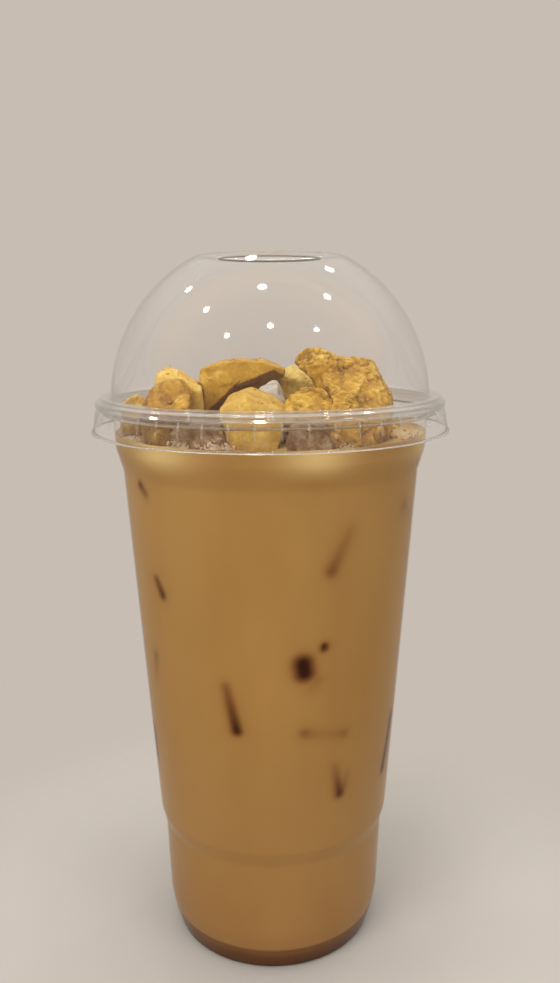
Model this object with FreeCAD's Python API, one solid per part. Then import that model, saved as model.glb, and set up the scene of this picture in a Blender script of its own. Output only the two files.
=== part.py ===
import FreeCAD, Part
import math
import os
import random

# An iced dalgona latte in its clear takeaway cup, under a dome lid with a straw hole.
# Millimetres, +Z up. The origin is the middle of the foot ring, on the table.

# Driving dimensions: the cup, a 32 oz thermoformed tumbler for a 107 mm lid
CUP_WALL = 0.5
FOOT_RADIUS = 33.2           # where the foot ring turns up into the wall
FOOT_RING_INNER = 28.8       # inner edge of the ring that the cup stands on
FLOOR_LIFT = 4.6             # the floor is pushed up inside the foot ring
FOOT_BAND_TOP = 7.4
HEEL_TOP = 13.0
STEP_BOTTOM = 39.4           # the stacking step: below it the cup is narrower
STEP_TOP = 44.2
SHOULDER_BOTTOM = 160.5
SHOULDER_TOP = 167.5
RIM_TOP = 182.2
RIM_ROLL = 1.9               # radius of the rolled rim's section
RIM_RADIUS = 53.5            # outside of the rolled rim

# The lid
LID_WALL = 0.4
SKIRT_BOTTOM = 172.9
SKIRT_RADIUS = 56.2
BEAD_BOTTOM = 180.2
BEAD_RADIUS = 55.1
BEAD_TOP = 183.6
DOME_RADIUS = 50.2
DOME_CENTRE = 181.6          # height of the dome's centre of curvature
CROWN_TOP = 226.3
HOLE_RADIUS = 15.6
HOLE_LIP = 1.05              # how far the hole's edge turns down
RIB_COUNT = 48
RIB_HEIGHT = 4.4
RIB_DEPTH = 0.55

# The drink
LATTE_LEVEL = 171.6
SETTLED_LEVEL = 7.8          # top of the dark coffee syrup that has settled at the bottom
TOPPINGS_GAP = 0.6           # what floats at the top stays just clear of the cup's wall
SNAPS = 5                    # edges snapped off a piece in front, and again behind

UP = FreeCAD.Vector(0, 0, 1)
CENTRE = FreeCAD.Vector(0, 0, 0)


def corner_turn(before, corner, after):
    """Unit vectors into and out of a corner, and the signed turn there."""
    into = (corner - before).normalize()
    out = (after - corner).normalize()
    turn = math.atan2(into.x * out.z - into.z * out.x, into.x * out.x + into.z * out.z)
    return into, out, turn


def section_path(corners):
    """Edges through (radius, height, fillet) corners, with a tangent arc at each fillet."""
    points = [FreeCAD.Vector(r, 0, z) for r, z, _ in corners]
    edges = []
    last = points[0]
    for i in range(1, len(points)):
        fillet = corners[i][2]
        end = points[i]
        if fillet and i < len(points) - 1:
            into, out, turn = corner_turn(points[i - 1], points[i], points[i + 1])
            reach = fillet * math.tan(abs(turn) / 2)
            start_arc = points[i] - into * reach
            end_arc = points[i] + out * reach
            inward = (out - into).normalize()
            centre = points[i] + inward * (fillet / math.cos(turn / 2))
            if (start_arc - last).Length > 1e-6:
                edges.append(Part.LineSegment(last, start_arc).toShape())
            edges.append(Part.Arc(start_arc, centre - inward * fillet, end_arc).toShape())
            last = end_arc
        else:
            edges.append(Part.LineSegment(last, end).toShape())
            last = end
    return edges


def inner_side(corners, wall):
    """The same corners on the sheet's other face, one wall thickness to the left."""
    points = [FreeCAD.Vector(r, 0, z) for r, z, _ in corners]
    moved = []
    for i, (radius, height, fillet) in enumerate(corners):
        before = points[max(i - 1, 0)]
        after = points[min(i + 1, len(points) - 1)]
        if i in (0, len(points) - 1):
            along = (after - before).normalize()
            left = FreeCAD.Vector(-along.z, 0, along.x)
            reach = wall
            turn = 0
        else:
            into, out, turn = corner_turn(before, points[i], after)
            middle = (into + out).normalize()
            left = FreeCAD.Vector(-middle.z, 0, middle.x)
            reach = wall / math.cos(turn / 2)
        inner_fillet = fillet - math.copysign(wall, turn) if fillet else 0
        moved.append((radius + left.x * reach, height + left.z * reach, max(inner_fillet, 0.05)))
    return moved


def spun(edges):
    """The solid of revolution of a closed section."""
    return Part.Face(Part.Wire(edges)).revolve(CENTRE, UP, 360)


def sheet(corners, wall):
    """A thin formed sheet spun about the cup's axis."""
    outer = section_path(corners)
    inner = section_path(list(reversed(inner_side(corners, wall))))
    first, last = outer[0].Vertexes[0].Point, outer[-1].Vertexes[-1].Point
    inner_start, inner_end = inner[0].Vertexes[0].Point, inner[-1].Vertexes[-1].Point
    edges = outer + [Part.LineSegment(last, inner_start).toShape()] + inner
    if (inner_end - first).Length > 1e-6:
        edges.append(Part.LineSegment(inner_end, first).toShape())
    return spun(edges)


# The cup's outside, from the middle of its floor down to the foot ring and up to the rim
CUP_OUTSIDE = [
    (0.0, FLOOR_LIFT, 0),
    (25.0, FLOOR_LIFT - 0.4, 3.0),
    (FOOT_RING_INNER, 0.0, 1.3),
    (FOOT_RADIUS, 0.0, 1.3),
    (35.4, FOOT_BAND_TOP, 2.5),
    (36.4, HEEL_TOP, 12.0),
    (37.4, STEP_BOTTOM, 3.0),
    (38.9, STEP_TOP, 3.0),
    (47.2, SHOULDER_BOTTOM, 3.0),
    (49.3, SHOULDER_TOP, 2.5),
    (49.95, RIM_TOP - RIM_ROLL, 0),
]


def make_cup():
    wall = sheet(CUP_OUTSIDE, CUP_WALL)
    rim_middle = FreeCAD.Vector(0, 0, RIM_TOP - RIM_ROLL)
    rim = Part.makeTorus(RIM_RADIUS - RIM_ROLL, RIM_ROLL, rim_middle, UP)
    return wall.fuse(rim).removeSplitter()


def dome_corner():
    """The one corner whose fillet is the dome's arc, from just above its foot to near the crown."""
    foot, crown = math.radians(2), math.radians(58)
    middle = (foot + crown) / 2
    reach = DOME_RADIUS / math.cos((crown - foot) / 2)
    corner = (reach * math.cos(middle), DOME_CENTRE + reach * math.sin(middle), DOME_RADIUS)
    arc_end = FreeCAD.Vector(DOME_RADIUS * math.cos(crown), 0,
                             DOME_CENTRE + DOME_RADIUS * math.sin(crown))
    slope = FreeCAD.Vector(-math.sin(crown), 0, math.cos(crown))
    rise = (CROWN_TOP - arc_end.z) / slope.z
    crown_edge = arc_end + slope * rise
    return corner, (crown_edge.x, crown_edge.z, 8.0)


def lid_outside():
    """The lid's outside, from its skirt over the bead and the dome and down into the hole."""
    dome, crown = dome_corner()
    return [
        (SKIRT_RADIUS + 0.5, SKIRT_BOTTOM, 0),
        (SKIRT_RADIUS, SKIRT_BOTTOM + 0.1, 0.5),
        (BEAD_RADIUS - 0.4, BEAD_BOTTOM, 0.3),
        (BEAD_RADIUS, BEAD_BOTTOM + 0.3, 0.2),
        (BEAD_RADIUS, BEAD_BOTTOM + 2.1, 0.5),
        (BEAD_RADIUS - 1.0, BEAD_TOP - 0.8, 0.4),
        (BEAD_RADIUS - 1.2, BEAD_TOP, 0.5),
        (52.0, BEAD_TOP, 0.5),
        (50.9, BEAD_TOP - 0.8, 0.4),
        (50.2, BEAD_TOP - 0.7, 0.4),
        dome,
        crown,
        (HOLE_RADIUS + 1.5, CROWN_TOP, 1.0),
        (HOLE_RADIUS, CROWN_TOP - HOLE_LIP, 0),
    ]


def make_lid():
    shell = sheet(lid_outside(), LID_WALL)
    # Grip ribs pressed out of the upper part of the skirt
    ribs = []
    slope = (SKIRT_RADIUS - BEAD_RADIUS + 0.4) / (BEAD_BOTTOM - SKIRT_BOTTOM)
    for i in range(RIB_COUNT):
        top = BEAD_BOTTOM - 0.1
        foot = top - RIB_HEIGHT
        inside = BEAD_RADIUS - 0.6
        ridge = [
            FreeCAD.Vector(inside, -0.6, top),
            FreeCAD.Vector(inside + 0.2 + RIB_DEPTH, 0, top),
            FreeCAD.Vector(inside, 0.6, top),
        ]
        base = [point + FreeCAD.Vector(slope * RIB_HEIGHT, 0, foot - top) for point in ridge]
        rib = Part.makeLoft([Part.makePolygon(ring + ring[:1]) for ring in (base, ridge)], True, True)
        rib.rotate(CENTRE, UP, 360 * (i + 0.5) / RIB_COUNT)
        ribs.append(rib)
    return shell.multiFuse(ribs)


def space_inside(gap, top):
    """The space inside the cup, a gap away from its wall, and straight on up to a height."""
    edges = section_path(inner_side(CUP_OUTSIDE, CUP_WALL + gap))
    floor = edges[0].Vertexes[0].Point
    brim = edges[-1].Vertexes[-1].Point
    above = FreeCAD.Vector(brim.x, 0, top)
    middle = FreeCAD.Vector(0, 0, top)
    for start, end in ((brim, above), (above, middle), (middle, floor)):
        edges.append(Part.LineSegment(start, end).toShape())
    return spun(edges)


def fill(floor, level):
    """What fills the cup between two heights."""
    slab = Part.makeCylinder(RIM_RADIUS, level - floor, FreeCAD.Vector(0, 0, floor))
    return space_inside(0, RIM_TOP).common(slab)


def largest(shape):
    return max(shape.Solids, key=lambda solid: solid.Volume)


def plane_normal(turn, tilt):
    """A normal that turns from +X towards the top, then tilts towards the near side."""
    turn, tilt = math.radians(turn), math.radians(tilt)
    return FreeCAD.Vector(math.cos(turn) * math.cos(tilt), -math.sin(tilt),
                          math.sin(turn) * math.cos(tilt))


def cut_off(block, normal, point):
    """The block without what lies past the plane through a point."""
    side = 4 * RIM_RADIUS
    waste = Part.makeBox(side, side, side, FreeCAD.Vector(-side / 2, -side / 2, 0))
    waste.Placement = FreeCAD.Placement(FreeCAD.Vector(*point), FreeCAD.Rotation(UP, normal))
    return largest(block.cut(waste))


def broken_piece(outline, near, depth, slopes, seed, snaps=SNAPS):
    """A broken piece: a block with this front outline, sloping faces and snapped edges.

    outline is (x, z) corners and near is the y of its near face. Each slope is the turn, the
    tilt and a point of the plane that cuts it.
    """
    corners = [FreeCAD.Vector(x, near, z) for x, z in outline]
    block = Part.Face(Part.makePolygon(corners + corners[:1])).extrude(FreeCAD.Vector(0, depth, 0))
    for turn, tilt, point in slopes:
        block = cut_off(block, plane_normal(turn, tilt), point)
    chance = random.Random(seed)
    for i in range(snaps):
        for side in (1, -1):
            turn = 360 * i / snaps + chance.uniform(-22, 22)
            normal = plane_normal(turn, side * chance.uniform(28, 58))
            middle = block.CenterOfMass
            reach = max((vertex.Point - middle).dot(normal) for vertex in block.Vertexes)
            block = cut_off(block, normal, middle + normal * reach * chance.uniform(0.82, 0.94))
    return block


def make_slab():
    """The slab that leans on the others: its long top, and the end that it stands on."""
    top = broken_piece(
        [(-22, 182.5), (-22.4, 191.3), (-15, 194), (-2.2, 194), (4.8, 191.2), (4.4, 188.8),
         (-2.2, 185.9), (-11.5, 181)],
        -4, 15, [(291, 46, (-3.7, -4, 189.3))], 12, 2)
    end = broken_piece(
        [(-21, 171.5), (-22.3, 189.5), (-12, 190), (-8.5, 187), (-11.5, 181), (-18.5, 171)],
        -4.3, 13, [(313, 46, (-16, -4.3, 182))], 13, 0)
    return top.fuse(end)


def make_toppings():
    """The pieces that lie on the drink, named as they lie, from the left to the right."""
    toppings = {
        "toffee_crumb": broken_piece(
            [(-46.3, 172), (-46.5, 180.5), (-44, 183), (-41.5, 184.2), (-38.5, 182), (-38, 171)],
            -11, 8, [], 3),
        "toffee_left_back": broken_piece(
            [(-35.5, 169), (-36.3, 185), (-35.3, 190.4), (-32.3, 192.2), (-28, 191), (-25, 188.4),
             (-21.3, 186.6), (-20.8, 180), (-23, 169)],
            -11, 13, [(80, 40, (-31, -6, 191.5))], 5),
        "toffee_left_front": broken_piece(
            [(-35.5, 168.5), (-38.7, 177), (-38.2, 182), (-34.8, 187), (-31, 189), (-26.5, 189.3),
             (-22.8, 185.6), (-23.8, 176), (-27.5, 168.3)],
            -34, 19, [(95, 38, (-31, -24, 188.5)), (180, 15, (-38, -22, 180))], 8, 4),
        "toffee_slab": make_slab(),
        "toffee_wedge": broken_piece(
            [(-10, 166.8), (-12.5, 175), (-14.2, 181.5), (-11.8, 184.8), (-5.6, 187.6), (-1.6, 187),
             (4.8, 181.6), (3.2, 173), (1.2, 166.6)],
            -44, 24, [(131, 60, (-5.4, -36, 187.5)), (51, 30, (-5.4, -36, 187.5))], 14, 0),
        "toffee_back": broken_piece(
            [(4, 170), (2, 180), (2.1, 188.6), (6.8, 191), (13, 190.8), (17.8, 188.6), (18.5, 178),
             (15, 170)],
            8, 13, [(90, 40, (10, 12, 190.5))], 17),
        "toffee_front": broken_piece(
            [(7, 170), (3.8, 178), (4.8, 183.6), (7.6, 186.3), (12.2, 187.3), (16.3, 186.3),
             (18.6, 183.6), (18.4, 178.5), (15.5, 170)],
            -31, 12, [(80, 45, (10, -25, 187))], 20),
    }
    # The largest piece has two lobes: a high one on the left and a broad one that slopes to the right
    high_lobe = broken_piece(
        [(17, 182), (14, 187.5), (10.2, 191), (8.4, 193.4), (9.3, 195.6), (11.4, 197.6), (15.6, 197.8),
         (20, 195.6), (25, 192), (25, 182)],
        -9, 15, [(110, 40, (14, -4, 197.4))], 23)
    broad_lobe = broken_piece(
        [(13.5, 166), (13.5, 178), (16.5, 190), (20, 195.2), (27.5, 194.4), (31.8, 193.8),
         (36, 186.6), (38.8, 181.6), (38.4, 174), (31, 169.5), (24, 165.6)],
        -44, 50, [(88, 27, (26, -7, 194.2)), (0, 9, (38.6, -5, 180)), (60, 34, (33, -10, 190))], 26)
    toppings["toffee_large"] = high_lobe.fuse(broad_lobe)
    # Ice that stands out of the drink, between the pieces and against the cup's wall
    toppings["ice_middle"] = broken_piece(
        [(-6, 168), (-6, 182), (-2.4, 186.2), (2, 188.4), (4.8, 181.5), (4, 168)], -20, 12, [], 29)
    toppings["ice_right"] = broken_piece(
        [(5, 164), (5.6, 178), (15.6, 178.4), (18, 174), (16, 163)], -46, 13, [], 32)
    toppings["ice_left"] = broken_piece(
        [(-26, 163), (-27.5, 176), (-24, 178.4), (-13.5, 178), (-12, 172), (-14, 164)],
        -45, 13, [], 35)
    inside = space_inside(TOPPINGS_GAP, CROWN_TOP)
    taken = []
    for name, solid in toppings.items():
        for other in taken:
            solid = solid.cut(other)
        toppings[name] = largest(solid.common(inside))
        taken.append(toppings[name])
    return toppings


toppings = make_toppings()
nodes = {
    "cup": make_cup(),
    "lid": make_lid(),
    "settled_coffee": fill(0, SETTLED_LEVEL),
    "latte": fill(SETTLED_LEVEL, LATTE_LEVEL).cut(Part.makeCompound(list(toppings.values()))),
}
nodes.update(toppings)

os.makedirs("parts", exist_ok=True)
for name, shape in nodes.items():
    solid = shape.Solids[0] if len(shape.Solids) == 1 else shape
    box = solid.BoundBox
    print(name, "solids", len(shape.Solids), "valid", shape.isValid(), "volume cm3",
          round(shape.Volume / 1000, 2), "z", round(box.ZMin, 2), round(box.ZMax, 2),
          "x", round(box.XMin, 2), round(box.XMax, 2))
    solid.exportStep("parts/" + name + ".step")
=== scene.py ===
import math
import random

import bmesh
import bpy
from mathutils import Matrix, Vector, bvhtree, noise


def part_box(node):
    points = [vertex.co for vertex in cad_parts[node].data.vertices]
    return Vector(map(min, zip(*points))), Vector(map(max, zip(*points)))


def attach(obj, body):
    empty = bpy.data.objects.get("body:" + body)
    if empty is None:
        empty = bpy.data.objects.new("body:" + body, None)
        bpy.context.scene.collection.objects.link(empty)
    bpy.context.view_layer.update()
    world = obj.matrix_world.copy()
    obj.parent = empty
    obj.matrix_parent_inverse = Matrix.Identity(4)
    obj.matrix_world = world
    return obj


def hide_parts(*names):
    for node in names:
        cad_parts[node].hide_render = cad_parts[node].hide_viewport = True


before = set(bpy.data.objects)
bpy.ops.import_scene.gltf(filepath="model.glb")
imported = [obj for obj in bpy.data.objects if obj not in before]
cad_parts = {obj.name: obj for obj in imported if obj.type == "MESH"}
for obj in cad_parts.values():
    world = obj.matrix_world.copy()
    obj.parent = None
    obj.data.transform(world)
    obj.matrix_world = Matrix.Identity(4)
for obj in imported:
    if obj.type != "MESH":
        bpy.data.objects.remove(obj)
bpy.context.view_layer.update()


# The cup: a tall takeaway tumbler, thermoformed from clear PET sheet. The heated sheet is drawn
# into a mould, which leaves a pushed-up floor, a stacking step and a shoulder, and its edge is
# rolled outwards into the rim that the lid snaps over.
MM = 0.001
CUP_WALL = 0.5
CUP_TURNS = 240
RIM_ROLL = 1.775
RIM_FOOT_REACH = 50.3            # everything further out than this is the rolled rim
RIM_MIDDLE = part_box("cup")[1].z / MM - 1.9
CUP_OUTSIDE = [
    (0.0, 4.6, 0),
    (25.0, 4.2, 3.0),
    (28.8, 0.0, 1.3),
    (33.2, 0.0, 1.3),
    (35.4, 7.4, 2.5),
    (36.4, 13.0, 12.0),
    (37.4, 39.4, 3.0),
    (38.9, 44.2, 3.0),
    (47.2, 160.5, 3.0),
    (49.3, 167.5, 2.5),
    (49.95, RIM_MIDDLE, 0),
]


def rounded(corners, step=math.radians(7)):
    """Points along (radius, height, fillet) corners, with an arc at each fillet."""
    points = []
    for i, (radius, height, fillet) in enumerate(corners):
        here = Vector((radius, height))
        if fillet == 0:
            points.append(here)
            continue
        into = (here - Vector(corners[i - 1][:2])).normalized()
        out = (Vector(corners[i + 1][:2]) - here).normalized()
        turn = math.atan2(into.cross(out), into.dot(out))
        centre = here + (out - into).normalized() * fillet / math.cos(turn / 2)
        spoke = here - into * fillet * math.tan(abs(turn) / 2) - centre
        parts = max(2, math.ceil(abs(turn) / step))
        for k in range(parts + 1):
            points.append(centre + Matrix.Rotation(turn * k / parts, 2) @ spoke)
    return points


def arc(centre, radius, start, end, parts):
    """Points on an arc of a section, between two angles in degrees."""
    angles = [math.radians(start + (end - start) * k / parts) for k in range(parts + 1)]
    return [Vector(centre) + radius * Vector((math.cos(a), math.sin(a))) for a in angles]


def inset(points, depth):
    """The same line moved towards its left side, which is the cup's inside."""
    moved = []
    for i, point in enumerate(points):
        along = (points[min(i + 1, len(points) - 1)] - points[max(i - 1, 0)]).normalized()
        moved.append(Vector((max(point.x - along.y * depth, 0), point.y + along.x * depth)))
    moved[0].x = points[0].x
    return moved


def piece_from(name, bm):
    """A piece of the drink from its finished mesh, in metres."""
    mesh = bpy.data.meshes.new(name)
    bm.to_mesh(mesh)
    bm.free()
    mesh.shade_smooth()
    piece = bpy.data.objects.new(name, mesh)
    bpy.context.scene.collection.objects.link(piece)
    return piece


def spun(outline, turns):
    """A mesh turned about the cup's axis from (radius, height) points in millimetres."""
    bm = bmesh.new()
    line = [bm.verts.new((point.x * MM, 0, point.y * MM)) for point in outline]
    edges = [bm.edges.new(pair) for pair in zip(line, line[1:])]
    bmesh.ops.spin(bm, geom=line + edges, cent=(0, 0, 0), axis=(0, 0, 1),
                   angle=2 * math.pi, steps=turns, use_merge=True)
    bmesh.ops.remove_doubles(bm, verts=bm.verts, dist=0.002 * MM)
    bmesh.ops.recalc_face_normals(bm, faces=bm.faces)
    outward = sum(face.normal.xy.dot(face.calc_center_median().xy) for face in bm.faces)
    if outward < 0:
        bmesh.ops.reverse_faces(bm, faces=bm.faces)
    return bm


def linear(code):
    """An sRGB hex colour as the linear colour that shaders take."""
    values = [int(code[i:i + 2], 16) / 255 for i in (1, 3, 5)]
    return [v / 12.92 if v <= 0.04045 else ((v + 0.055) / 1.055) ** 2.4 for v in values] + [1.0]


def add_node(tree, kind, inputs=None, stops=None, **settings):
    """Adds a shader node with its settings, its ramp's stops, and socket values or links."""
    node = tree.nodes.new("ShaderNode" + kind)
    for name, value in settings.items():
        setattr(node, name, value)
    if stops:
        ramp = node.color_ramp.elements
        ramp.remove(ramp[1])
        ramp[0].position = stops[0][0]
        ramp[0].color = linear(stops[0][1])
        for position, code in stops[1:]:
            ramp.new(position).color = linear(code)
    for socket, value in (inputs or {}).items():
        if isinstance(value, bpy.types.NodeSocket):
            tree.links.new(value, node.inputs[socket])
        else:
            node.inputs[socket].default_value = value
    return node


def new_material(name):
    """An empty node material and its tree."""
    material = bpy.data.materials.new(name)
    material.use_nodes = True
    material.node_tree.nodes.clear()
    return material, material.node_tree


def formed_pet(name, edge_colour, roughness, ripple, face_on_shine, edge_on_shine):
    """Clear PET sheet: no body colour, a faint shine face on, and a grey line edge on.

    The shine grows towards the edges as it does on any clear plastic of index 1.57, and the
    slow ripple that forming leaves, in millimetres across, wobbles what it mirrors.
    """
    material, tree = new_material(name)
    place = add_node(tree, "TexCoord")
    waves = add_node(tree, "TexNoise", {"Vector": place.outputs["Object"], "Scale": 1 / (ripple * MM),
                                        "Detail": 1.0})
    bump = add_node(tree, "Bump", {"Height": waves.outputs["Fac"], "Strength": 0.25,
                                   "Distance": 0.15 * MM})
    edge_on = add_node(tree, "LayerWeight", {"Blend": 0.5})
    fifth = add_node(tree, "Math", {0: edge_on.outputs["Facing"], 1: 5.0}, operation="POWER")
    shine = add_node(tree, "Math", {0: fifth.outputs[0], 1: edge_on_shine, 2: face_on_shine},
                     operation="MULTIPLY_ADD")
    depth = add_node(tree, "ValToRGB", {"Fac": edge_on.outputs["Facing"]},
                     stops=[(0.0, "#ffffff"), (0.88, "#fefefe"), (0.975, "#f0eeec"), (1.0, edge_colour)])
    clear = add_node(tree, "BsdfTransparent", {"Color": depth.outputs["Color"]})
    gloss = add_node(tree, "BsdfGlossy", {"Color": linear("#ffffff"), "Roughness": roughness,
                                          "Normal": bump.outputs["Normal"]})
    both = add_node(tree, "MixShader", {0: shine.outputs[0], 1: clear.outputs[0], 2: gloss.outputs[0]})
    add_node(tree, "OutputMaterial", {"Surface": both.outputs[0]})
    return material


def solid_pet(name, tint):
    """PET rolled or pressed so thick that it bends light: bright and dark lines like a glass rod."""
    material, tree = new_material(name)
    place = add_node(tree, "TexCoord")
    waves = add_node(tree, "TexNoise", {"Vector": place.outputs["Object"], "Scale": 1 / (4 * MM)})
    bump = add_node(tree, "Bump", {"Height": waves.outputs["Fac"], "Strength": 0.2,
                                   "Distance": 0.1 * MM})
    clear = add_node(tree, "BsdfGlass", {"Color": linear(tint), "IOR": 1.57,
                                         "Roughness": 0.03, "Normal": bump.outputs["Normal"]})
    add_node(tree, "OutputMaterial", {"Surface": clear.outputs[0]})
    return material


thick_pet = solid_pet("rolled PET edge", "#f8f7f5")
# Its grey tint is a painted dark line. It stands in for the darker surroundings that the edge would bend
# into view.
cut_pet = solid_pet("cut PET edge", "#a89c90")
cup_line = rounded(CUP_OUTSIDE)
rim_curl = arc((49.95 + RIM_ROLL, RIM_MIDDLE), RIM_ROLL, 180, -120, 22)
cup_sheet = piece_from("cup_sheet", spun(cup_line + rim_curl[1:], CUP_TURNS))
dry_pet = formed_pet("thermoformed PET cup", "#a39a94", 0.09, 14, 0.02, 0.45)
wet_pet = formed_pet("thermoformed PET wetted by the drink", "#d0c8c2", 0.09, 14, 0.003, 0.1)
for sheet_material in (dry_pet, wet_pet, thick_pet):
    cup_sheet.data.materials.append(sheet_material)
for face in cup_sheet.data.polygons:
    reach, height = face.center.xy.length / MM, face.center.z / MM
    face.material_index = 2 if height > RIM_MIDDLE or reach > RIM_FOOT_REACH else 0
cup_thickness = cup_sheet.modifiers.new("sheet thickness", "SOLIDIFY")
cup_thickness.thickness = CUP_WALL * MM
cup_thickness.offset = -1
cup_thickness.material_offset = 1
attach(cup_sheet, "root")
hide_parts("cup")


# The settled coffee: strong coffee syrup that was poured in first and has sunk under the milk.
# It fills the foot of the cup up to the first turn of the wall, touching the plastic all over,
# and is nearly black where it is deep and amber where light comes through its thin edge.
SETTLED_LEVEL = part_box("settled_coffee")[1].z / MM
fill_line = inset(cup_line, CUP_WALL / 2)


def fill_radius(height):
    """How far the drink reaches at a height: half way into the wall, so that no air shows."""
    for low, high in zip(fill_line, fill_line[1:]):
        if low.x > 30 and low.y <= height <= high.y:
            return low.x + (high.x - low.x) * (height - low.y) / (high.y - low.y)
    return fill_line[-1].x


foot_line = [point for point in fill_line if point.y < SETTLED_LEVEL or point.x < 30]
foot_line.append(Vector((fill_radius(SETTLED_LEVEL), SETTLED_LEVEL)))
foot_line.append(Vector((0, SETTLED_LEVEL)))
settled = piece_from("settled_coffee_syrup", spun(foot_line, CUP_TURNS))

material, tree = new_material("coffee syrup under milk")
place = add_node(tree, "TexCoord")
split = add_node(tree, "SeparateXYZ", {0: place.outputs["Object"]})
swirl = add_node(tree, "TexNoise", {"Vector": place.outputs["Object"], "Scale": 1 / (9 * MM),
                                    "Detail": 3.0})
rise = add_node(tree, "MapRange", {"Value": split.outputs["Z"], "From Min": 0.0,
                                   "From Max": SETTLED_LEVEL * MM})
mixed = add_node(tree, "Math", {0: swirl.outputs["Fac"], 1: 0.35, 2: rise.outputs[0]},
                 operation="MULTIPLY_ADD")
syrup = add_node(tree, "ValToRGB", {"Fac": mixed.outputs[0]},
                 stops=[(0.1, "#41260f"), (0.45, "#4c2e13"), (0.85, "#5a3819"), (1.0, "#684420")])
body = add_node(tree, "BsdfPrincipled", {"Base Color": syrup.outputs["Color"], "Roughness": 0.35,
                                         "Specular IOR Level": 0.03,
                                         "Subsurface Weight": 0.15, "Subsurface Scale": 2 * MM})
add_node(tree, "OutputMaterial", {"Surface": body.outputs[0]})
settled.data.materials.append(material)
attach(settled, "root")
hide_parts("settled_coffee")


# The sunk ice: cubes with melted edges that the drink hides, except where an edge comes close to
# the wall and shows as a soft dark mark. The dark of the mark is painted shade, the dim inside of
# the drink seen through clear ice. Each line gives the mark's middle as an angle round the cup and
# a height, its lean to the left, its length, how far its top tips outwards, the milk left over it,
# and how round the edge is. Degrees and millimetres.
ICE_ACROSS = 19.0
WALL_SLOPE = math.atan2(47.2 - 38.9, 160.5 - 44.2)
SUNK_ICE = [
    (-145.5, 159.4, 48, 6, 6, 0.15, 1.2),
    (-138.3, 128.5, 28, 7.5, -4, 0.1, 1.2),
    (-147.8, 102.0, -12, 12, 3, 0.75, 2.0),
    (-163.0, 70.0, 0, 14, 0, 0.3, 1.5),
    (-106.4, 94.4, 11, 18, -2.5, 0.05, 1.8),
    (-77.2, 108.0, 8, 15, 0, 0.05, 6.0),
    (-72.0, 103.5, -25, 12, 6, 0.5, 5.0),
    (-69.0, 114.2, 0, 2, 0, 0.15, 0.7),
    (-67.6, 85.0, 78, 17, -2, 1.05, 2.2),
    (-60.0, 67.6, 12, 13, -5, 0.05, 1.6),
    (-56.8, 66.0, -17, 10, -8, 0.2, 2.2),
    (-63.6, 142.6, -24, 19, -3, 0.5, 3.4),
    (-22.0, 71.5, -14, 21, 0, 0.25, 1.6),
    (-26.0, 150.5, 60, 14, 3, 1.0, 3.0),
    (95.0, 120.0, 20, 18, 2, 0.3, 2.0),
    (60.0, 92.0, -30, 16, -3, 0.4, 2.2),
    (130.0, 66.0, 10, 17, 2, 0.1, 1.8),
    (160.0, 138.0, -55, 15, 3, 0.5, 2.0),
    (18.0, 118.0, 5, 18, -2, 0.4, 1.8),
]


def ice_place(angle, height, lean, length, tip, cover, edge_round):
    """The turn and place of a sunk cube whose long edge faces the wall there."""
    core = ICE_ACROSS / 2 - edge_round
    reach = core * math.sqrt(2) + edge_round + length / 2 * math.sin(math.radians(abs(tip)))
    out = fill_radius(height) - cover - reach
    return (Matrix.Rotation(math.radians(angle), 4, "Z")
            @ Matrix.Translation((out, 0, height))
            @ Matrix.Rotation(math.radians(lean), 4, "X")
            @ Matrix.Rotation(WALL_SLOPE + math.radians(tip), 4, "Y")
            @ Matrix.Rotation(math.radians(45), 4, "Z"))


sunk = []
bm = bmesh.new()
for mark in SUNK_ICE:
    length, edge_round = mark[3], mark[6]
    turn = ice_place(*mark)
    size = Vector((ICE_ACROSS, ICE_ACROSS, length))
    sunk.append((turn.inverted(), size / 2 - Vector((edge_round,) * 3), edge_round))
    cube = bmesh.ops.create_cube(bm, size=1, matrix=Matrix.Diagonal((*size, 1)))["verts"]
    cube_edges = list({edge for vert in cube for edge in vert.link_edges})
    made = bmesh.ops.bevel(bm, geom=cube + cube_edges, offset=min(edge_round, length * 0.45),
                           segments=4, profile=0.5, affect="EDGES", material=-1)
    block = list({vert for face in made["faces"] for vert in face.verts})
    bmesh.ops.transform(bm, matrix=Matrix.Scale(MM, 4) @ turn, verts=block)
sunk_ice = piece_from("sunk_ice", bm)

# The clear ice is painted dark brown. This is painted shade: the dim inside of the drink seen through it.
material, tree = new_material("clear ice under coffee")
place = add_node(tree, "TexCoord")
cloud = add_node(tree, "TexNoise", {"Vector": place.outputs["Object"], "Scale": 1 / (6 * MM),
                                    "Detail": 4.0})
dark = add_node(tree, "ValToRGB", {"Fac": cloud.outputs["Fac"]},
                stops=[(0.3, "#3a1f16"), (0.7, "#54362a")])
body = add_node(tree, "BsdfPrincipled", {"Base Color": dark.outputs["Color"], "Roughness": 0.3,
                                         "IOR": 1.31})
add_node(tree, "OutputMaterial", {"Surface": body.outputs[0]})
sunk_ice.data.materials.append(material)
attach(sunk_ice, "root")


# The latte: milk with coffee stirred through it, poured over the ice until it stands in the
# shoulder of the cup. Milk scatters light, so it is opaque a millimetre in, and only there does
# it thin to a mauve and then a dark brown where ice lies against the wall. That dark brown is
# painted shade: the dim inside of the drink seen through the ice.
LATTE_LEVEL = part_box("latte")[1].z / MM
LATTE_ROWS = 210
LATTE_TURNS = 270
MILK_VEIL = 0.7                  # depth of latte that hides most of what is behind it
MENISCUS = 0.7


def smoothstep(low, high, value):
    """A soft step from 0 at low to 1 at high."""
    share = min(max((value - low) / (high - low), 0), 1)
    return share * share * (3 - 2 * share)


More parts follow.
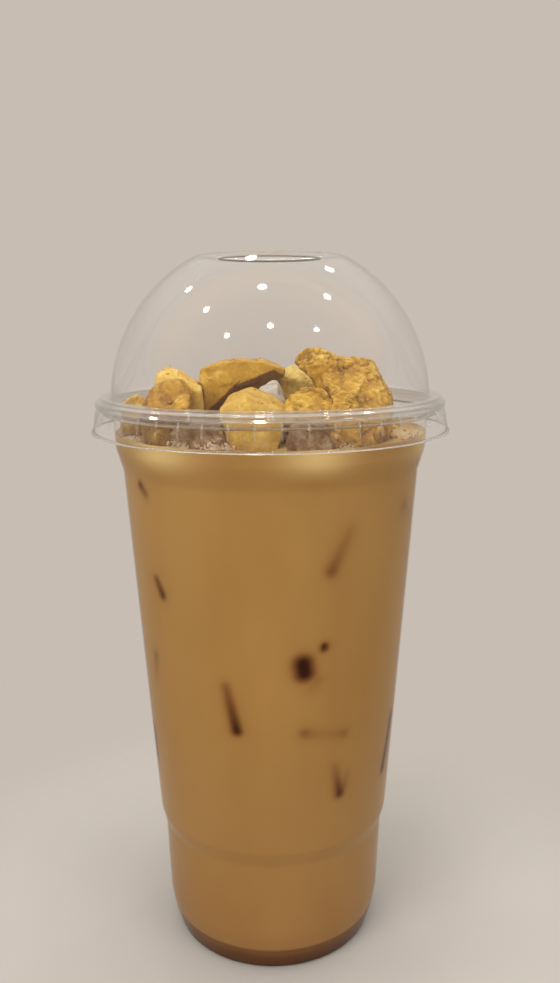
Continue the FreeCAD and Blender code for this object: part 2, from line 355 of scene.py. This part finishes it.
def ice_shade_through_milk(point):
    """How much painted shade from the drink's dim inside shows through the latte over the ice at a point of
    its side, from 0 to 1.
    """
    nearest = 9.0
    for turn, core, edge_round in sunk:
        local = turn @ point
        if local.length > ICE_ACROSS:
            continue
        past = [abs(local[i]) - core[i] for i in range(3)]
        outside = Vector([max(value, 0) for value in past]).length
        nearest = min(nearest, outside + min(max(past), 0) - edge_round)
    return math.exp(-max(nearest, 0) / MILK_VEIL)


step = (LATTE_LEVEL - SETTLED_LEVEL) / LATTE_ROWS
side = [SETTLED_LEVEL + step * i for i in range(LATTE_ROWS + 1)]
latte_line = [Vector((0, SETTLED_LEVEL))]
latte_line += [Vector((fill_radius(height), height)) for height in side]
latte_line[-1].y += MENISCUS
brim = fill_radius(LATTE_LEVEL)
latte_line += [Vector((brim - 0.5, LATTE_LEVEL + MENISCUS * 0.45)), Vector((brim - 1.2, LATTE_LEVEL + 0.1))]
latte_line += [Vector((brim * share, LATTE_LEVEL)) for share in (0.94, 0.8, 0.6, 0.4, 0.2, 0)]
# Painted highlights: pale patches in the shoulder that stand in for light through the lid's rolled rim
# falling on the latte. Each is a middle angle round the cup and a spread, in degrees.
SHOULDER_HIGHLIGHTS = [(-130, 13), (-74, 11), (-10, 20), (30, 16), (90, 25), (160, 20)]
HIGHLIGHT_TOP, HIGHLIGHT_BOTTOM = LATTE_LEVEL - 1.5, LATTE_LEVEL - 9.0


def painted_shoulder_highlight(point):
    """How strong the painted highlight in the shoulder is at a point of the side, from 0 to 1."""
    angle = math.degrees(math.atan2(point.y, point.x))
    height = smoothstep(HIGHLIGHT_BOTTOM, HIGHLIGHT_TOP, point.z)
    brightest = 0
    for middle, spread in SHOULDER_HIGHLIGHTS:
        away = ((angle - middle + 180) % 360 - 180) / spread
        brightest = max(brightest, math.exp(-away * away))
    return height * brightest


bm = spun(latte_line, LATTE_TURNS)
ice_shade_layer = bm.verts.layers.float.new("ice_shade")
# The cream layer holds the painted shoulder highlight.
highlight_layer = bm.verts.layers.float.new("cream")
for vert in bm.verts:
    point = vert.co / MM
    if math.hypot(point.x, point.y) > 34:
        vert[ice_shade_layer] = ice_shade_through_milk(point)
        vert[highlight_layer] = painted_shoulder_highlight(point)
latte = piece_from("latte_body", bm)

material, tree = new_material("milky coffee")
place = add_node(tree, "TexCoord")
split = add_node(tree, "SeparateXYZ", {0: place.outputs["Object"]})
layers = add_node(tree, "Mapping", {"Vector": place.outputs["Object"], "Scale": (1, 1, 0.35)})
clouds = add_node(tree, "TexNoise", {"Vector": layers.outputs[0], "Scale": 1 / (22 * MM),
                                     "Detail": 4.0, "Roughness": 0.55})
rise = add_node(tree, "MapRange", {"Value": split.outputs["Z"], "From Min": SETTLED_LEVEL * MM,
                                   "From Max": LATTE_LEVEL * MM})
# The latte darkens towards the bottom, dips where the shoulder turns and is lighter in the shoulder. This
# is mostly painted shade and light, as the light falls from above, over the latte's own colour.
painted_shade_by_height = add_node(tree, "ValToRGB", {"Fac": rise.outputs[0]},
                    stops=[(0.0, "#906b3d"), (0.2, "#9a7542"), (0.55, "#a67f47"), (0.9, "#ab854d"),
                           (0.96, "#a9834c"), (1.0, "#b08a52")])
cloudy = add_node(tree, "ValToRGB", {"Fac": clouds.outputs["Fac"]},
                  stops=[(0.3, "#f2efe9"), (0.7, "#ffffff")])
milk = add_node(tree, "Mix", {0: 1.0, 6: painted_shade_by_height.outputs["Color"], 7: cloudy.outputs["Color"]},
                data_type="RGBA", blend_type="MULTIPLY")
# The cream attribute is the painted shoulder highlight, mixed in as a pale colour.
cream = add_node(tree, "Attribute", attribute_name="cream")
highlighted_milk = add_node(tree, "Mix", {0: cream.outputs["Fac"], 6: milk.outputs[2], 7: linear("#dcbf83")},
                  data_type="RGBA")
# The mauve is thin milk over the ice. The dark brown under it is painted shade of the drink's dim inside.
ice_shade = add_node(tree, "Attribute", attribute_name="ice_shade")
veil = add_node(tree, "ValToRGB", {"Fac": ice_shade.outputs["Fac"]},
                stops=[(0.0, "#ffffff"), (0.12, "#f3eeea"), (0.45, "#b39a90"), (0.8, "#5e3f38"),
                       (1.0, "#41211a")])
colour = add_node(tree, "Mix", {0: 1.0, 6: highlighted_milk.outputs[2], 7: veil.outputs["Color"]},
                  data_type="RGBA", blend_type="MULTIPLY")
body = add_node(tree, "BsdfPrincipled", {"Base Color": colour.outputs[2], "Roughness": 0.45,
                                         "Specular IOR Level": 0.05, "Subsurface Weight": 0.2,
                                         "Subsurface Radius": (1.0, 0.7, 0.4),
                                         "Subsurface Scale": 1.5 * MM})
add_node(tree, "OutputMaterial", {"Surface": body.outputs[0]})
latte.data.materials.append(material)
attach(latte, "root")
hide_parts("latte")


# The toffee: honeycomb toffee, boiled sugar and syrup foamed with soda, set in a tray and broken.
# Its crust is smooth and golden, its breaks are open froth with sugar grain that glitters, and
# it goes brown and sticky where the drink has soaked it.
TOFFEE_GRAIN = 0.45              # voxel that a broken piece is cut to
# For each piece: the chips' slope, the small chips' slope, how open the froth is, how brown its
# underside is, how far it is toasted lighter or darker, which for toffee_back is painted light,
# and a seed
TOFFEES = {
    "toffee_crumb": (0.12, 0.12, 0.4, 0.4, 0.1, 3),
    "toffee_left_back": (0.07, 0.03, 0.15, 0.3, 0.12, 5),
    "toffee_left_front": (0.11, 0.12, 0.6, 0.3, -0.17, 8),
    "toffee_slab": (0.06, 0.03, 0.12, 1.0, -0.03, 12),
    "toffee_wedge": (0.03, 0.03, 0.1, 0.3, 0.05, 14),
    # toffee_back is lifted lighter as painted light, because it lies in the large piece's shadow.
    "toffee_back": (0.1, 0.1, 0.8, 0.3, 0.25, 17),
    "toffee_front": (0.12, 0.17, 0.9, 0.3, -0.06, 20),
    "toffee_large": (0.12, 0.17, 0.9, 0.35, -0.1, 23),
}
PALE_BREAK, PALE_BREAK_ACROSS = Vector((-26.5, -30, 185.4)), 2.4   # a fresh break in the left piece
CHIP, SMALL_CHIP = 6.5, 2.1      # how far apart the chips of a break are
BUBBLE = 1.7                     # froth bubble spacing
SOAK_TOP = LATTE_LEVEL + 6
# Clean snaps, each the turn and the tilt of the face in degrees and a point on it in millimetres
SNAPPED_FACES = {
    "toffee_wedge": [(123, 12, (-7, -34, 185.6)), (64, 12, (-7, -34, 185.6)),
                     (131, 60, (-7, -38, 184.6)), (45, 32, (-7, -38, 184.6))],
}


def merged_copy(node):
    """A node's mesh as one closed bmesh."""
    bm = bmesh.new()
    bm.from_mesh(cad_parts[node].data)
    bmesh.ops.remove_doubles(bm, verts=bm.verts, dist=0.01 * MM)
    return bm


def snapped_block(node):
    """A node's block, cut by the clean snaps that it has."""
    bm = merged_copy(node)
    for turn, tilt, place in SNAPPED_FACES.get(node, []):
        turn, tilt = math.radians(turn), math.radians(tilt)
        normal = Vector((math.cos(turn) * math.cos(tilt), -math.sin(tilt),
                         math.sin(turn) * math.cos(tilt)))
        cut = bmesh.ops.bisect_plane(bm, geom=bm.verts[:] + bm.edges[:] + bm.faces[:],
                                     plane_co=Vector(place) * MM, plane_no=normal,
                                     clear_outer=True)["geom_cut"]
        rim = [item for item in cut if isinstance(item, bmesh.types.BMEdge)]
        if rim:
            bmesh.ops.contextual_create(bm, geom=rim)
    bmesh.ops.recalc_face_normals(bm, faces=bm.faces)
    return bm


def worn_block(node, grain, smoothing):
    """A node's block in an even mesh, with its sharp edges worn round."""
    rough = piece_from(node + "_block", snapped_block(node))
    remesh = rough.modifiers.new("even mesh", "REMESH")
    remesh.mode = "VOXEL"
    remesh.voxel_size = grain * MM
    seen = rough.evaluated_get(bpy.context.evaluated_depsgraph_get())
    bm = bmesh.new()
    bm.from_mesh(seen.to_mesh())
    seen.to_mesh_clear()
    bpy.data.objects.remove(rough)
    for _ in range(smoothing):
        bmesh.ops.smooth_vert(bm, verts=bm.verts, factor=0.5, use_axis_x=True, use_axis_y=True,
                              use_axis_z=True)
    return bm


def chipped(point, spacing, slope):
    """The height in millimetres of a flake of a conchoidal break, each flake tilted its own way."""
    inside = point / spacing
    flake = noise.voronoi(inside)[1][0]
    return (inside - flake).dot(noise.noise_vector(flake * 5.3).normalized()) * spacing * slope


def broken_toffee(node, slope, small_slope, froth, brown, toast_and_painted_light, seed):
    """A broken piece of toffee: flakes, sugar grain and froth pits over its block."""
    flat = snapped_block(node)
    faces = bvhtree.BVHTree.FromBMesh(flat)
    bm = worn_block(node, TOFFEE_GRAIN, 1)
    bm.normal_update()
    relief = bm.verts.layers.float.new("relief")
    brown_below = bm.verts.layers.float.new("brown_below")
    frothy = bm.verts.layers.float.new("froth")
    shift = Vector((seed * 7.3, seed * 3.1, seed * 5.7))
    moves = []
    for vert in bm.verts:
        point = vert.co / MM + shift
        lump = noise.noise(point / 8)
        flake = chipped(point, CHIP, slope)
        small = chipped(point, SMALL_CHIP, small_slope)
        pit = max(0, 1 - noise.voronoi(point / BUBBLE)[0][0] / 0.42)
        open_froth = smoothstep(-0.25, 0.35, noise.noise(point / 6.5)) * froth
        grain = noise.noise(point / 1.1)
        pale = max(0, 1 - (vert.co / MM - PALE_BREAK).length / PALE_BREAK_ACROSS)
        rough = 0.04 + 0.2 * open_froth + 0.45 * pale
        out = flake + small + 0.5 * lump - 0.4 * pit * open_froth + rough * grain
        moves.append((vert, vert.normal * out * MM))
        # The colour follows the relief: pits are painted darker as painted shade, and raised flakes lighter
        # as painted highlight.
        vert[relief] = (0.5 + toast_and_painted_light + 0.2 * flake + 0.6 * small - 0.4 * pit * open_froth
                        + rough * grain + 0.5 * pale)
        vert[frothy] = min(1, open_froth + pale)
        # Brown below the drink's level, where the drink has soaked in, and brown on faces that turn
        # downwards, by how brown the piece's underside is.
        under = -faces.find_nearest(vert.co)[1].z
        wet = smoothstep(SOAK_TOP, LATTE_LEVEL - 1, vert.co.z / MM + 2.5 * noise.noise(point / 4))
        vert[brown_below] = max(wet * 0.6, brown * smoothstep(0.3, 0.5, under + 0.1 * lump))
    for vert, move in moves:
        vert.co += move
    flat.free()
    return bm


material, tree = new_material("honeycomb toffee")
place = add_node(tree, "TexCoord")
relief = add_node(tree, "Attribute", attribute_name="relief")
brown_below = add_node(tree, "Attribute", attribute_name="brown_below")
froth = add_node(tree, "Attribute", attribute_name="froth")
tone = add_node(tree, "TexNoise", {"Vector": place.outputs["Object"], "Scale": 1 / (5 * MM),
                                   "Detail": 5.0, "Roughness": 0.6})
crumbly = add_node(tree, "TexNoise", {"Vector": place.outputs["Object"], "Scale": 1 / (0.7 * MM),
                                      "Detail": 3.0, "Roughness": 0.7})
mottled = add_node(tree, "MapRange", {"Value": froth.outputs["Fac"], "To Min": 0.25, "To Max": 0.6})
sugar = add_node(tree, "TexVoronoi", {"Vector": place.outputs["Object"], "Scale": 1 / (0.6 * MM)})
height = add_node(tree, "Math", {0: tone.outputs["Fac"], 1: 0.5, 2: relief.outputs["Fac"]},
                  operation="MULTIPLY_ADD")
speck = add_node(tree, "Math", {0: crumbly.outputs["Fac"], 1: 0.5}, operation="SUBTRACT")
height = add_node(tree, "Math", {0: speck.outputs[0], 1: mottled.outputs[0], 2: height.outputs[0]},
                  operation="MULTIPLY_ADD")
# The ramp runs from painted shade in the pits to painted highlight on raised flakes, over the toffee's own
# golden tone.
golden = add_node(tree, "ValToRGB", {"Fac": height.outputs[0]},
                  stops=[(0.3, "#65430f"), (0.55, "#a17522"), (0.75, "#c49a38"), (1.0, "#eacf78")])
brown = add_node(tree, "ValToRGB", {"Fac": height.outputs[0]},
                 stops=[(0.3, "#4e2f17"), (0.6, "#77502a"), (0.95, "#96703f")])
colour = add_node(tree, "Mix", {0: brown_below.outputs["Fac"], 6: golden.outputs["Color"],
                                7: brown.outputs["Color"]}, data_type="RGBA")
shiny = add_node(tree, "MapRange", {"Value": sugar.outputs["Distance"], "To Min": 0.28, "To Max": 0.6})
gritty = add_node(tree, "MapRange", {"Value": froth.outputs["Fac"], "To Min": 0.2, "To Max": 1.0})
grains = add_node(tree, "Math", {0: sugar.outputs["Distance"], 1: crumbly.outputs["Fac"]},
                  operation="ADD")
grit = add_node(tree, "Bump", {"Height": grains.outputs[0], "Strength": gritty.outputs[0],
                               "Distance": 0.5 * MM})
body = add_node(tree, "BsdfPrincipled", {"Base Color": colour.outputs[2],
                                         "Roughness": shiny.outputs[0],
                                         "Normal": grit.outputs["Normal"],
                                         "Specular IOR Level": 0.25,
                                         "Subsurface Weight": 0.15, "IOR": 1.5,
                                         "Subsurface Radius": (1.0, 0.6, 0.2),
                                         "Subsurface Scale": 1.2 * MM})
add_node(tree, "OutputMaterial", {"Surface": body.outputs[0]})
toffee_material = material

for node, look in TOFFEES.items():
    toffee = piece_from(node + "_broken", broken_toffee(node, *look))
    toffee.data.materials.append(toffee_material)
    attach(toffee, "root")
    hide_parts(node)


# The ice on top: three pieces that stand out of the drink between the toffee. Ice is clear at
# its skin and white with trapped air inside, and coffee has stained what is low.
material, tree = new_material("melting ice")
place = add_node(tree, "TexCoord")
split = add_node(tree, "SeparateXYZ", {0: place.outputs["Object"]})
cracks = add_node(tree, "TexNoise", {"Vector": place.outputs["Object"], "Scale": 1 / (3 * MM),
                                     "Detail": 6.0, "Roughness": 0.65})
stain = add_node(tree, "MapRange", {"Value": split.outputs["Z"], "From Min": (LATTE_LEVEL + 6) * MM,
                                    "From Max": (LATTE_LEVEL + 12) * MM})
air = add_node(tree, "ValToRGB", {"Fac": cracks.outputs["Fac"]},
               stops=[(0.35, "#cfc9c2"), (0.6, "#efece8")])
low = add_node(tree, "ValToRGB", {"Fac": cracks.outputs["Fac"]},
               stops=[(0.36, "#86603f"), (0.5, "#b5906a"), (0.62, "#dcc39c")])
colour = add_node(tree, "Mix", {0: stain.outputs[0], 6: low.outputs["Color"], 7: air.outputs["Color"]},
                  data_type="RGBA")
skin = add_node(tree, "Bump", {"Height": cracks.outputs["Fac"], "Strength": 0.6, "Distance": 0.7 * MM})
body = add_node(tree, "BsdfPrincipled", {"Base Color": colour.outputs[2], "Roughness": 0.12,
                                         "IOR": 1.31, "Transmission Weight": 0.4,
                                         "Normal": skin.outputs["Normal"]})
add_node(tree, "OutputMaterial", {"Surface": body.outputs[0]})
for node in ("ice_middle", "ice_right", "ice_left"):
    bm = worn_block(node, 0.6, 6)
    bm.normal_update()
    melted = [vert.normal * noise.noise(vert.co / (4 * MM)) * 1.3 * MM for vert in bm.verts]
    for vert, move in zip(bm.verts, melted):
        vert.co += move
    ice = piece_from(node + "_melting", bm)
    ice.data.materials.append(material)
    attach(ice, "root")
    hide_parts(node)


# The foam: what is left of the whipped coffee's froth, a few pale lumps of fine bubbles against
# the wall in front and a broken ring of bubbles round the brim.
FOAM_LUMPS = [(-118.0, 5.5), (-112.5, 5.0), (-107.0, 3.5), (-64.0, 2.0), (-150.0, 2.5), (-28.0, 2.5)]


def ball(bm, centre, radius, detail=1, flat=1.0, wobble=None):
    """A bubble or a crumb: a small ball, flattened, its points moved by a random source."""
    turn = Matrix.Translation(centre * MM) @ Matrix.Diagonal((MM, MM, MM * flat, 1))
    verts = bmesh.ops.create_icosphere(bm, subdivisions=detail, radius=radius, matrix=turn)["verts"]
    if wobble:
        for vert in verts:
            vert.co += (vert.co - centre * MM) * wobble.uniform(-0.35, 0.25)


chance = random.Random(41)
bm = bmesh.new()
for angle, spread in FOAM_LUMPS:
    for _ in range(int(spread * 55)):
        turn = math.radians(angle + chance.gauss(0, spread * 0.75))
        lift = abs(chance.gauss(0, 0.27 * spread))
        reach = fill_radius(LATTE_LEVEL) - 0.9 - abs(chance.gauss(0, 1.3))
        centre = Vector((reach * math.cos(turn), reach * math.sin(turn), LATTE_LEVEL + lift))
        ball(bm, centre, chance.uniform(0.12, 0.42), 2)
for _ in range(260):
    turn = chance.uniform(0, 2 * math.pi)
    reach = fill_radius(LATTE_LEVEL) - 0.6 - abs(chance.gauss(0, 1.6))
    centre = Vector((reach * math.cos(turn), reach * math.sin(turn), LATTE_LEVEL + 0.1))
    ball(bm, centre, chance.uniform(0.12, 0.35), 2)
foam = piece_from("milk_foam", bm)
material, tree = new_material("milk foam")
place = add_node(tree, "TexCoord")
froth = add_node(tree, "TexNoise", {"Vector": place.outputs["Object"], "Scale": 1 / (4 * MM)})
cream = add_node(tree, "ValToRGB", {"Fac": froth.outputs["Fac"]},
                 stops=[(0.35, "#bfa583"), (0.65, "#dccbb2")])
body = add_node(tree, "BsdfPrincipled", {"Base Color": cream.outputs["Color"], "Roughness": 0.5})
add_node(tree, "OutputMaterial", {"Surface": body.outputs[0]})
foam.data.materials.append(material)
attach(foam, "root")


# The crumbs: splinters that broke off the toffee and lie on it and float between the pieces.
CRUMBS = 110
tops = bmesh.new()
for node in list(TOFFEES) + ["ice_middle", "ice_right", "ice_left"]:
    block = piece_from(node + "_landing", snapped_block(node))
    tops.from_mesh(block.data)
    bpy.data.objects.remove(block)
landing = bvhtree.BVHTree.FromBMesh(tops)
tops.free()
bm = bmesh.new()
for _ in range(CRUMBS):
    turn, reach = chance.uniform(0, 2 * math.pi), 46 * math.sqrt(chance.random())
    above = Vector((reach * math.cos(turn), reach * math.sin(turn), LATTE_LEVEL + 40))
    hit = landing.ray_cast(above * MM, Vector((0, 0, -1)))[0]
    top = hit.z / MM if hit else LATTE_LEVEL
    size = chance.uniform(0.2, 0.6) if hit else chance.uniform(0.4, 1.8)
    ball(bm, Vector((above.x, above.y, top + size * 0.3)), size, 2, 0.7, chance)
relief = bm.verts.layers.float.new("relief")
for vert in bm.verts:
    vert[relief] = 0.5
crumbs = piece_from("toffee_crumbs", bm)
crumbs.data.materials.append(toffee_material)
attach(crumbs, "root")


# The lid: a dome formed from thinner PET sheet. A flared skirt with grip ribs and a snap bead
# hold it on the rolled rim, and the straw hole in its crown is cut with its edge turned down.
LID_WALL = 0.4
RIBS = 48
LID_TURNS = 288
RIB_TOP, RIB_HEIGHT = 180.1, 4.2
HEM_TOP, LIP_REACH, BEAD_INNER = 173.6, 16.9, 51.0   # where the sheet's thick edges and its bead are
DOME_RADIUS, DOME_CENTRE = 50.2, 181.6
DOME_FOOT, DOME_CROWN = 2, 58    # degrees above the horizon
CROWN_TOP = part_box("lid")[1].z / MM
SKIRT_LINE = [
    (56.7, 172.9, 0),
    (56.2, 173.0, 0.5),
    (54.7, 180.2, 0.3),
    (55.1, 180.5, 0.2),
    (55.1, 182.3, 0.5),
    (54.1, 182.8, 0.4),
    (53.9, 183.6, 0.5),
    (52.0, 183.6, 0.5),
    (50.9, 182.8, 0.4),
    (50.2, 182.9, 0),
]
HOLE_LINE = [
    (23.16, CROWN_TOP, 8.0),
    (17.1, CROWN_TOP, 1.0),
    (15.6, CROWN_TOP - 1.05, 0),
]

skirt = rounded(SKIRT_LINE)
dome = arc((0, DOME_CENTRE), DOME_RADIUS, DOME_FOOT, DOME_CROWN, 36)
crown = rounded([(dome[-2].x, dome[-2].y, 0)] + HOLE_LINE)[1:]
bm = spun(skirt + dome[:-1] + crown, LID_TURNS)
lid_sheet = piece_from("dome_lid_sheet", bm)
lid_sheet.data.materials.append(formed_pet("thermoformed PET lid", "#9c938f", 0.05, 18,
                                           0.045, 0.95))
lid_sheet.data.materials.append(thick_pet)
lid_sheet.data.materials.append(formed_pet("thermoformed PET bead of the lid", "#8f8782", 0.06, 18,
                                           0.2, 0.95))
for face in lid_sheet.data.polygons:
    reach, height = face.center.xy.length / MM, face.center.z / MM
    if height < HEM_TOP or reach < LIP_REACH:
        face.material_index = 1
    elif reach > BEAD_INNER and height > RIB_TOP:
        face.material_index = 2
    else:
        face.material_index = 0
lid_thickness = lid_sheet.modifiers.new("sheet thickness", "SOLIDIFY")
lid_thickness.thickness = LID_WALL * MM
lid_thickness.offset = -1
hole_edge = piece_from("straw_hole_edge", spun(arc((15.75, CROWN_TOP - 1.1), 0.32, 0, 360, 12),
                                               LID_TURNS))
hole_edge.data.materials.append(cut_pet)
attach(hole_edge, "root")
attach(lid_sheet, "root")
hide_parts("lid")

bm = bmesh.new()
rib_lean = math.atan2(56.2 - 54.7, 180.2 - 173.0)
for i in range(RIBS):
    rib = bmesh.ops.create_cone(bm, cap_ends=True, segments=10, radius1=0.2, radius2=0.45,
                                depth=RIB_HEIGHT)
    verts = rib["verts"]
    place = (Matrix.Rotation(2 * math.pi * (i + 0.5) / RIBS, 4, "Z")
             @ Matrix.Translation((55.15, 0, RIB_TOP - RIB_HEIGHT / 2))
             @ Matrix.Rotation(-rib_lean, 4, "Y"))
    bmesh.ops.transform(bm, matrix=Matrix.Scale(MM, 4) @ place, verts=verts)
ribs = piece_from("lid_grip_ribs", bm)
ribs.data.materials.append(formed_pet("thermoformed PET grip ribs", "#8f8782", 0.06, 6,
                                      0.16, 0.95))
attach(ribs, "root")


# The stage: a plain pale table that fades into the plain backdrop colour, soft light from the
# upper left, and nine small round ceiling lamps, which the clear dome mirrors as points.
BACKDROP = "#c8bdb3"
TABLE = "#bdbbba"
TABLE_FADE = (0.085, 0.16)        # metres from the cup

bm = bmesh.new()
bmesh.ops.create_circle(bm, cap_ends=True, segments=96, radius=1.2)
table = piece_from("table", bm)
material, tree = new_material("pale table")
place = add_node(tree, "TexCoord")
away = add_node(tree, "VectorMath", {0: place.outputs["Object"]}, operation="LENGTH")
fade = add_node(tree, "MapRange", {"Value": away.outputs["Value"], "From Min": TABLE_FADE[0],
                                   "From Max": TABLE_FADE[1]}, interpolation_type="SMOOTHSTEP")
top = add_node(tree, "BsdfDiffuse", {"Color": linear(TABLE)})
gone = add_node(tree, "BsdfTransparent")
both = add_node(tree, "MixShader", {0: fade.outputs[0], 1: top.outputs[0], 2: gone.outputs[0]})
add_node(tree, "OutputMaterial", {"Surface": both.outputs[0]})
table.data.materials.append(material)

world = bpy.data.worlds.new("studio")
world.use_nodes = True
tree = world.node_tree
tree.nodes.clear()
path = add_node(tree, "LightPath")
way = add_node(tree, "SeparateXYZ", {0: add_node(tree, "TexCoord").outputs["Generated"]})
upward = add_node(tree, "ValToRGB", {"Fac": add_node(tree, "MapRange", {
    "Value": way.outputs["Z"], "From Min": -1.0}).outputs[0]},
    stops=[(0.45, "#b4aca3"), (0.5, BACKDROP), (0.65, BACKDROP), (0.8, "#ece4da"), (1.0, "#f4eee6")])
forward = add_node(tree, "ValToRGB", {"Fac": add_node(tree, "MapRange", {
    "Value": way.outputs["Y"], "From Min": -1.0}).outputs[0]},
    stops=[(0.1, "#c9c4bd"), (0.35, "#f0eeeb"), (0.5, "#ffffff")])
both = add_node(tree, "Mix", {0: 1.0, 6: upward.outputs["Color"], 7: forward.outputs["Color"]},
                data_type="RGBA", blend_type="MULTIPLY")
room = add_node(tree, "Background", {"Color": both.outputs[2], "Strength": 0.75})
mirrored = add_node(tree, "Background", {"Color": both.outputs[2], "Strength": 1.0})
wall = add_node(tree, "Background", {"Color": linear(BACKDROP), "Strength": 1.0})
seen = add_node(tree, "Math", {0: path.outputs["Is Camera Ray"],
                               1: path.outputs["Is Transmission Ray"]}, operation="MAXIMUM")
lit = add_node(tree, "MixShader", {0: path.outputs["Is Glossy Ray"], 1: room.outputs[0],
                                   2: mirrored.outputs[0]})
both = add_node(tree, "MixShader", {0: seen.outputs[0], 1: lit.outputs[0], 2: wall.outputs[0]})
add_node(tree, "OutputWorld", {"Surface": both.outputs[0]})
bpy.context.scene.world = world


def lamp(name, place, size, power, colour, round_lamp, mirrored):
    """An area lamp that faces the middle of the cup."""
    light = bpy.data.lights.new(name, "AREA")
    light.shape = "DISK" if round_lamp else "SQUARE"
    light.size = size
    light.energy = power
    light.color = linear(colour)[:3]
    holder = bpy.data.objects.new(name, light)
    holder.location = place
    holder.rotation_euler = (Vector((0, 0, 0.12)) - Vector(place)).to_track_quat("-Z", "Y").to_euler()
    holder.visible_glossy = mirrored
    bpy.context.scene.collection.objects.link(holder)


lamp("soft_key", (-1.0, -1.3, 0.9), 1.2, 21, "#fff8ee", False, False)
lamp("soft_ceiling", (0.1, 0.1, 1.7), 1.2, 9, "#fff6ea", False, False)
lamp("soft_front", (0.05, -1.5, 0.45), 1.0, 3, "#fff8f0", False, False)
lamp("soft_fill", (1.2, -1.2, 0.5), 1.2, 10, "#fff8f0", False, False)
CEILING = 2.0
LAMP_SPACING = 1.15
for row in (-1, 0, 1):
    for column in (-1, 0, 1):
        across = Vector((column, row)) * LAMP_SPACING
        spot = Matrix.Rotation(math.radians(7), 2) @ across
        lamp(f"ceiling_lamp_{row + 1}{column + 1}", (spot.x - 0.12, spot.y - 0.1, CEILING), 0.14, 1.3,
             "#fff6ea", True, True)

camera = bpy.data.cameras.new("camera")
camera.lens = 33.1
camera.shift_y = 0.0104
camera.sensor_width = 36
camera.clip_start = 0.01
viewpoint = bpy.data.objects.new("camera", camera)
viewpoint.matrix_world = (Matrix.Translation((0.0029, -0.2898, 0.2092))
                          @ Matrix.Rotation(math.radians(90 - 11.9), 4, "X")
                          @ Matrix.Rotation(math.radians(-0.3), 4, "Z"))
bpy.context.scene.collection.objects.link(viewpoint)
bpy.context.scene.camera = viewpoint
bpy.context.scene.view_settings.view_transform = "Standard"
bpy.context.scene.cycles.transparent_max_bounces = 32
